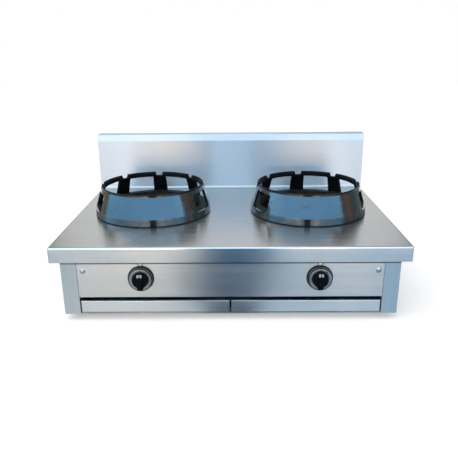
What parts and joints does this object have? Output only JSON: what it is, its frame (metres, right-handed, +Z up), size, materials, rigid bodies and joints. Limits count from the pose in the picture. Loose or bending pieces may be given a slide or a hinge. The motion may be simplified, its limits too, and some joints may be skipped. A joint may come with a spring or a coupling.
{
  "type": "wok range",
  "caption": "Counter-top stainless gas range with wok rings on a folded deck, splashback, control knobs and pull-out drip trays.",
  "frame": {"origin": "on the counter under the feet, at the middle of the bounding box seen from above", "axes": "+X to the right seen from the front, +Y towards the splashback, +Z up; the control panel faces -Y"},
  "size_m": [1, 0.7566, 0.426],
  "materials": {
    "worktop_steel": "satin, brushed from side to side",
    "splashback_steel": "satin, brushed from side to side",
    "panel_steel": "satin, brushed from side to side",
    "post_steel": "satin, brushed upright",
    "case_steel": "satin",
    "floor_steel": "satin",
    "tray_steel": "satin, brushed from side to side",
    "runner_steel": "zinc plated",
    "screw_steel": "polished",
    "bowl_steel": "satin, pressed",
    "ring_enamel": "gloss black enamel",
    "burner_iron": "rough casting",
    "pipe_steel": "black painted pipe",
    "tap_brass": "machined",
    "gas_tube_metal": "drawn tube",
    "probe_steel": "bright drawn",
    "spring_steel": "drawn wire",
    "spindle_steel": "machined",
    "knob_black": "fine moulded texture",
    "bezel_black": "gloss",
    "dial_metal": "spun",
    "foot_rubber": "matt"
  },
  "bodies": {
    "range": {"worktop": "worktop_steel", "splashback": "splashback_steel", "back_panel": "case_steel", "bottom_panel": "floor_steel", "control_panel": "panel_steel", "control_panel_screws": "screw_steel", "front_left_foot": "foot_rubber", "front_right_foot": "foot_rubber", "rear_left_foot": "foot_rubber", "rear_right_foot": "foot_rubber", "front_left_post": "post_steel", "front_right_post": "post_steel", "rear_left_post": "post_steel", "rear_right_post": "post_steel", "centre_tray_runner": "runner_steel", "burner_support_rail": "runner_steel", "gas_manifold": "pipe_steel", "gas_inlet": "tap_brass", "left_side_panel": "case_steel", "left_tray_runner": "runner_steel", "left_burner_bowl": "bowl_steel", "left_burner_body": "burner_iron", "left_burner_head": "burner_iron", "left_injector": "tap_brass", "left_air_shutter": "runner_steel", "left_pilot_burner": "probe_steel", "left_pilot_tube": "gas_tube_metal", "left_thermocouple": "probe_steel", "left_burner_tube": "gas_tube_metal", "left_manifold_bracket": "runner_steel", "left_tap_body": "tap_brass", "left_bezel": "bezel_black", "right_side_panel": "case_steel", "right_tray_runner": "runner_steel", "right_burner_bowl": "bowl_steel", "right_burner_body": "burner_iron", "right_burner_head": "burner_iron", "right_injector": "tap_brass", "right_air_shutter": "runner_steel", "right_pilot_burner": "probe_steel", "right_pilot_tube": "gas_tube_metal", "right_thermocouple": "probe_steel", "right_burner_tube": "gas_tube_metal", "right_manifold_bracket": "runner_steel", "right_tap_body": "tap_brass", "right_bezel": "bezel_black"},
    "left_tap_plug": {"left_tap_plug": "tap_brass", "left_tap_spring": "spring_steel"},
    "left_knob": {"left_knob": "knob_black", "left_dial_plate": "dial_metal", "left_tap_spindle": "spindle_steel"},
    "left_drip_tray": {"left_drip_tray": "tray_steel"},
    "left_wok_ring": {"left_wok_ring": "ring_enamel"},
    "right_tap_plug": {"right_tap_plug": "tap_brass", "right_tap_spring": "spring_steel"},
    "right_knob": {"right_knob": "knob_black", "right_dial_plate": "dial_metal", "right_tap_spindle": "spindle_steel"},
    "right_drip_tray": {"right_drip_tray": "tray_steel"},
    "right_wok_ring": {"right_wok_ring": "ring_enamel"}
  },
  "joints": [
    {"name": "left_tap_turn", "type": "hinge", "parent": "range", "child": "left_tap_plug", "pos_m": [-0.248, -0.31225, 0.1305], "axis": [0, -1, 0], "range_deg": [0, 180]},
    {"name": "left_knob_push", "type": "slide", "parent": "left_tap_plug", "child": "left_knob", "axis": [0, 1, 0], "range_m": [0, 0.005], "stiffness_N_per_m": 1500, "springref_m": -0.004, "deforming": ["left_tap_spring"]},
    {"name": "left_tray_pull", "type": "slide", "parent": "range", "child": "left_drip_tray", "axis": [0, -1, 0], "range_m": [0, 0.42]},
    {"name": "left_ring_lift", "type": "slide", "parent": "range", "child": "left_wok_ring", "axis": [0, 0, 1], "range_m": [0, 0.12]},
    {"name": "right_tap_turn", "type": "hinge", "parent": "range", "child": "right_tap_plug", "pos_m": [0.248, -0.31225, 0.1305], "axis": [0, -1, 0], "range_deg": [0, 180]},
    {"name": "right_knob_push", "type": "slide", "parent": "right_tap_plug", "child": "right_knob", "axis": [0, 1, 0], "range_m": [0, 0.005], "stiffness_N_per_m": 1500, "springref_m": -0.004, "deforming": ["right_tap_spring"]},
    {"name": "right_tray_pull", "type": "slide", "parent": "range", "child": "right_drip_tray", "axis": [0, -1, 0], "range_m": [0, 0.42]},
    {"name": "right_ring_lift", "type": "slide", "parent": "range", "child": "right_wok_ring", "axis": [0, 0, 1], "range_m": [0, 0.12]}
  ]
}
